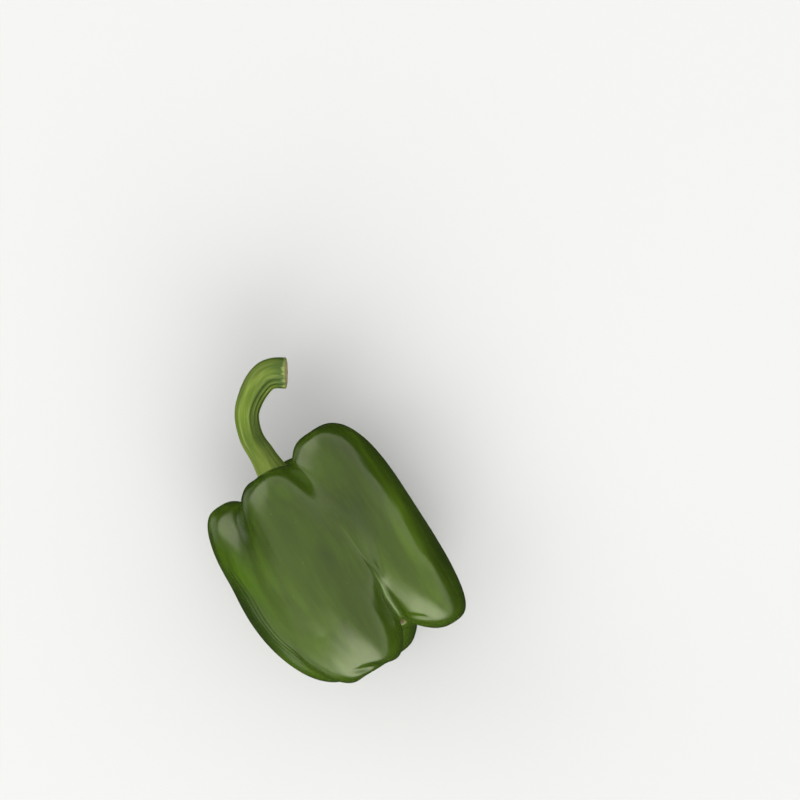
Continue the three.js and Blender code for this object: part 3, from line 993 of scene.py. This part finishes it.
class PEPPER_OT_stem(bpy.types.Operator):
    """Makes the stem and calyx as one skin: under the calyx, over its edge, up the foot and along the stem"""

    bl_idname = "pepper.stem"
    bl_label = "Stem and calyx"

    def execute(self, context):
        settings = context.scene.pepper_stem
        columns = settings.around
        turns = 2 * math.pi * np.arange(columns) / columns
        rings = calyx_rings(turns)
        rings += foot_rings(rings[-2], rings[-1], turns)
        for share in np.linspace(FOOT_SHARE, 1, settings.stations):
            rings.append(stem_surface(np.full(columns, share), turns))
        last_stem_ring = len(rings) - 1
        rings += cut_rings(turns)

        rows = len(rings) + 1
        piece, row, column = sphere_grid("stem_and_calyx_skin", columns, rows)
        table = np.array(rings)
        ring = np.clip(row - 1, 0, len(rings) - 1)
        points = table[ring, column]
        points[row == 0] = calyx_surface(np.zeros(1), np.zeros(1), GAP)
        points[row == rows] = stem_surface(np.ones(1), np.zeros(1), 0.0, CUT_MIDDLE)
        set_points(piece, points)

        # Where each point lies on the straightened stem, for the fibres
        middles = table.mean(axis=1, keepdims=True)
        ring_steps = np.linalg.norm(np.diff(middles[:, 0], axis=0), axis=1)
        length = np.cumsum(np.concatenate(([0], np.maximum(ring_steps, 0.05))))
        spread = np.linalg.norm(table - middles, axis=2)[ring, column]
        turn = turns[column]
        straight = np.column_stack((length[ring], spread * np.cos(turn), spread * np.sin(turn))) * MILLIMETRE
        add_attributes(piece, {
            "straight": straight,
            # Where the painted shade of the grooves goes
            "groove_shade": np.clip(groove_depth(turn) / FULL_GROOVE, 0, 1),
            "to_cut": np.maximum(length[last_stem_ring] - length[ring], 0) * MILLIMETRE,
            "cut_face": share_between(row - 1.0, last_stem_ring + 0.5, last_stem_ring + 2.0),
        })
        finish_piece(piece, stem_skin(settings), "stem_and_calyx")
        return {"FINISHED"}


# Stage

# The picture: metres in a pixel, pixels in its side, the point at its middle in mm, and its upward direction
PIXEL = 0.00039
PICTURE_SIDE = 800
VIEW_CENTRE = np.array([38.5, -55.1, 35.0])
IMAGE_UP = Vector((0.848, -0.53, 0.0))
SENSOR_WIDTH = 36.0

FLOOR_HEIGHT = -0.0002
KEY_PLACE = (0.2, 1.6, 1.7)
KEY_TARGET = (0.0, 0.0, 0.03)
KEY_SIZE = 1.5
KEY_POWER = 9.0

# Brightness of the dome: by its horizon, overhead and under the horizon
SKY_LOW = (1.8, 1.8, 1.8, 1.0)
SKY_HIGH = (1.12, 1.12, 1.13, 1.0)
GROUND = (0.02, 0.02, 0.02, 1.0)
DOME_POLE = (0.0, 0.06, 0.9982)

# Brighter and darker parts of the dome: direction, where they begin, where they are full, and brightness
DOME_PARTS = (
    ((-0.55, 0.8, 0.05), 0.86, 0.99, 2.7),
    ((-0.8, 0.28, 0.53), 0.74, 0.99, 6.2),
    ((0.85, 0.42, 0.32), 0.8, 1.0, 3.2),
    ((0.1, 0.98, 0.12), 0.82, 1.0, 0.5),
    ((0.35, 0.93, 0.12), 0.89, 0.99, 0.4),
)

# Fainter lights under the horizon, in the same way
LOW_LIGHTS = (
    ((-0.31, 0.93, -0.21), 0.87, 0.98, 0.72),
    ((0.62, 0.68, -0.4), 0.92, 0.99, 0.8),
)


def floor_material():
    """Plain pale floor."""
    material = bpy.data.materials.new("pale_floor")
    material.use_nodes = True
    shader = material.node_tree.nodes["Principled BSDF"]
    shader.inputs["Base Color"].default_value = linear("#C2C2C0")
    shader.inputs["Roughness"].default_value = 0.8
    return material


def add_floor(size):
    """Adds the floor, which lights nothing and isn't reflected."""
    bpy.ops.object.select_all(action="DESELECT")
    bpy.ops.mesh.primitive_plane_add(size=size, location=(0, 0, FLOOR_HEIGHT))
    floor = bpy.context.object
    floor.name = "floor"
    floor.data.materials.append(floor_material())
    floor.visible_glossy = False
    floor.visible_diffuse = False
    floor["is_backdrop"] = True


def add_dome(scene, strength):
    """Adds a slightly tilted dome of light, bright above and dark below, with uneven parts and low lights."""
    world = bpy.data.worlds.new("soft_dome")
    scene.world = world
    world.use_nodes = True
    tree = world.node_tree
    direction = add_node(tree, "ShaderNodeTexCoord", output="Generated")

    def toward(way, begin, full):
        nearness = add_node(
            tree, "ShaderNodeVectorMath", {0: direction, 1: way}, output="Value", operation="DOT_PRODUCT")
        return add_node(tree, "ShaderNodeMapRange", {VALUE: nearness, LOW: begin, HIGH: full}, **SMOOTH)

    overhead = toward((0.0, 0.0, 1.0), 0.05, 0.8)
    sky = add_node(tree, "ShaderNodeMix", {SHARE: overhead, UNDER: SKY_LOW, OVER: SKY_HIGH}, **MIX_COLOURS)
    halves = []
    for light, parts in ((GROUND, LOW_LIGHTS), (sky, DOME_PARTS)):
        for way, begin, full, brightness in parts:
            shade = (brightness, brightness, brightness, 1.0)
            share = toward(way, begin, full)
            light = add_node(tree, "ShaderNodeMix", {SHARE: share, UNDER: light, OVER: shade}, **MIX_COLOURS)
        halves.append(light)
    above = toward(DOME_POLE, -0.05, 0.07)
    dome = add_node(tree, "ShaderNodeMix", {SHARE: above, UNDER: halves[0], OVER: halves[1]}, **MIX_COLOURS)
    background = tree.nodes["Background"]
    tree.links.new(dome, background.inputs["Color"])
    background.inputs["Strength"].default_value = strength


def add_key_light():
    """Adds a broad soft light past the +Y flank that shows in no reflection."""
    bpy.ops.object.light_add(type="AREA", location=KEY_PLACE)
    key = bpy.context.object
    key.name = "key_light"
    key.data.shape = "DISK"
    key.data.size = KEY_SIZE
    key.data.energy = KEY_POWER
    key.visible_glossy = False
    aim = Vector(KEY_TARGET) - key.location
    key.rotation_mode = "QUATERNION"
    key.rotation_quaternion = aim.to_track_quat("-Z", "Y")


def add_camera(scene, height):
    """Adds the camera straight above, with the photo's framing."""
    camera_data = bpy.data.cameras.new("photo_camera")
    camera = bpy.data.objects.new("photo_camera", camera_data)
    scene.collection.objects.link(camera)
    centre = Vector((VIEW_CENTRE + FRAME_SHIFT) * MILLIMETRE)
    camera.location = (centre.x, centre.y, height)
    forward = Vector((0, 0, -1))
    right = forward.cross(IMAGE_UP).normalized()
    up = right.cross(forward)
    camera.rotation_mode = "QUATERNION"
    camera.rotation_quaternion = Matrix((right, up, -forward)).transposed().to_quaternion()
    camera_data.sensor_width = SENSOR_WIDTH
    camera_data.lens = SENSOR_WIDTH * (height - centre.z) / (PIXEL * PICTURE_SIDE)
    camera_data.clip_start = 0.05
    camera_data.clip_end = 20.0
    scene.camera = camera


class PEPPER_OT_stage(bpy.types.Operator):
    """Makes the floor, the light and the camera"""

    bl_idname = "pepper.stage"
    bl_label = "Stage"

    def execute(self, context):
        scene = context.scene
        settings = scene.pepper_stage
        add_floor(settings.floor_size)
        add_dome(scene, settings.dome_light)
        add_key_light()
        add_camera(scene, settings.camera_height)
        scene.view_settings.view_transform = "Standard"
        return {"FINISHED"}


class PEPPER_PT_panel(bpy.types.Panel):
    """Lists the steps of the pepper"""

    bl_idname = "PEPPER_PT_panel"
    bl_label = "Bell pepper"
    bl_space_type = "VIEW_3D"
    bl_region_type = "UI"
    bl_category = "Bell pepper"

    def draw(self, context):
        scene = context.scene
        for settings, operator in (
            (scene.pepper_body, "pepper.body"),
            (scene.pepper_stem, "pepper.stem"),
            (scene.pepper_stage, "pepper.stage"),
        ):
            box = self.layout.box()
            for name in settings.__annotations__:
                box.prop(settings, name)
            box.operator(operator)


CLASSES = (
    BodySettings,
    StemSettings,
    StageSettings,
    PEPPER_OT_body,
    PEPPER_OT_stem,
    PEPPER_OT_stage,
    PEPPER_PT_panel,
)


def register():
    for item in CLASSES:
        bpy.utils.register_class(item)
    bpy.types.Scene.pepper_body = bpy.props.PointerProperty(type=BodySettings)
    bpy.types.Scene.pepper_stem = bpy.props.PointerProperty(type=StemSettings)
    bpy.types.Scene.pepper_stage = bpy.props.PointerProperty(type=StageSettings)


def unregister():
    del bpy.types.Scene.pepper_stage
    del bpy.types.Scene.pepper_stem
    del bpy.types.Scene.pepper_body
    for item in reversed(CLASSES):
        bpy.utils.unregister_class(item)


def main():
    register()
    bpy.ops.pepper.body()
    bpy.ops.pepper.stem()
    bpy.ops.pepper.stage()
    boxes = {"cad": CAD_BOX, "visual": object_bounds()}
    {name: [list(corner) for corner in box] for name, box in boxes.items()}


if __name__ == "__main__":
    main()
